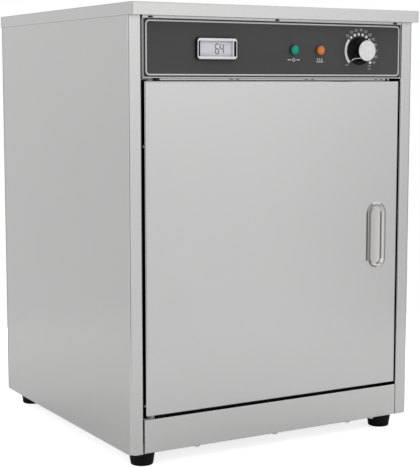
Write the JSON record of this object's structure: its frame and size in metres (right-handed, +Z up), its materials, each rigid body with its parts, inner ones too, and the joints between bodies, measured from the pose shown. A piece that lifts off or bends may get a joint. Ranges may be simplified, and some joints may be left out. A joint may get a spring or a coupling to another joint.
{
  "type": "heated holding cabinet",
  "caption": "Countertop warming cabinet in folded stainless sheet, with a side-hung door, wire racks over a heating element, and a console with thermometer, lamps and thermostat knob.",
  "frame": {"origin": "on the floor under the middle of the cabinet's overall box", "axes": "+Z up, -Y towards the user (the door is on -Y), +X to the user's right"},
  "size_m": [0.45, 0.4672, 0.6],
  "materials": {
    "cabinet_steel": "fine brushed",
    "liner_steel": "bright mill finish",
    "door_steel": "fine brushed, upright grain",
    "pull_steel": "polished pressing",
    "label_coating": "satin",
    "fastener_steel": "plated",
    "mineral_wool": "matt, fibrous",
    "rack_chrome": "bright",
    "element_sheath": "heat-darkened",
    "support_ceramic": "matt",
    "meter_plastic": "silver, satin",
    "meter_glass": "clear",
    "meter_display": "pale grey display",
    "black_plastic": "satin",
    "lens_green": "translucent",
    "lens_amber": "translucent",
    "knob_aluminium": "spun",
    "pointer_white": "matt",
    "thermostat_case": "zinc plated",
    "bulb_copper": "bare copper",
    "terminal_plastic": "moulded",
    "bush_nylon": "natural nylon",
    "seal_silicone": "matt",
    "magnet_ferrite": "matt, in a moulded case",
    "strike_steel": "plated",
    "foot_rubber": "matt"
  },
  "bodies": {
    "cabinet": {"back_panel": "cabinet_steel", "base_pan": "cabinet_steel", "bulb_clips": "fastener_steel", "cable_gland": "black_plastic", "capillary_tube": "bulb_copper", "catch_magnet": "magnet_ferrite", "console_label": "label_coating", "console_panel": "cabinet_steel", "element_guard": "liner_steel", "element_supports": "support_ceramic", "foot_front_left": "foot_rubber", "foot_front_right": "foot_rubber", "foot_rear_left": "foot_rubber", "foot_rear_right": "foot_rubber", "foot_screws": "fastener_steel", "front_top_rail": "cabinet_steel", "gland_locknut": "black_plastic", "heating_element": "element_sheath", "hinge_brackets": "fastener_steel", "hinge_pins": "fastener_steel", "insulation_back": "mineral_wool", "insulation_floor": "mineral_wool", "insulation_sides": "mineral_wool", "insulation_top": "mineral_wool", "lamp_barrels": "black_plastic", "lamp_lens_heat": "lens_amber", "lamp_lens_power": "lens_green", "liner_back": "liner_steel", "liner_floor": "liner_steel", "liner_left": "liner_steel", "liner_right": "liner_steel", "liner_top": "liner_steel", "panel_screws": "fastener_steel", "plinth_panel": "cabinet_steel", "sensing_bulb": "bulb_copper", "shelf_ledges": "liner_steel", "side_panel_left": "cabinet_steel", "side_panel_right": "cabinet_steel", "terminal_block": "terminal_plastic", "thermometer_bezel": "meter_plastic", "thermometer_case": "black_plastic", "thermometer_face": "meter_display", "thermometer_window": "meter_glass", "thermostat_body": "thermostat_case", "thermostat_nut": "fastener_steel", "top_cap": "cabinet_steel", "wire_shelf_lower": "rack_chrome", "wire_shelf_upper": "rack_chrome"},
    "door": {"door_skin": "door_steel", "door_inner_panel": "door_steel", "door_insulation": "mineral_wool", "door_gasket": "seal_silicone", "door_pull": "pull_steel", "door_rivets": "fastener_steel", "door_bushes": "bush_nylon", "catch_strike": "strike_steel"},
    "knob": {"knob_body": "black_plastic", "knob_cap": "knob_aluminium", "knob_pointer": "pointer_white", "thermostat_shaft": "fastener_steel"}
  },
  "joints": [
    {"name": "door_hinge", "type": "hinge", "parent": "cabinet", "child": "door", "pos_m": [-0.1915, -0.20615, 0], "axis": [0, 0, -1], "range_deg": [0, 115]},
    {"name": "knob_turn", "type": "hinge", "parent": "cabinet", "child": "knob", "pos_m": [0.1309, 0, 0.5435], "axis": [0, 1, 0], "range_deg": [0, 270]}
  ]
}
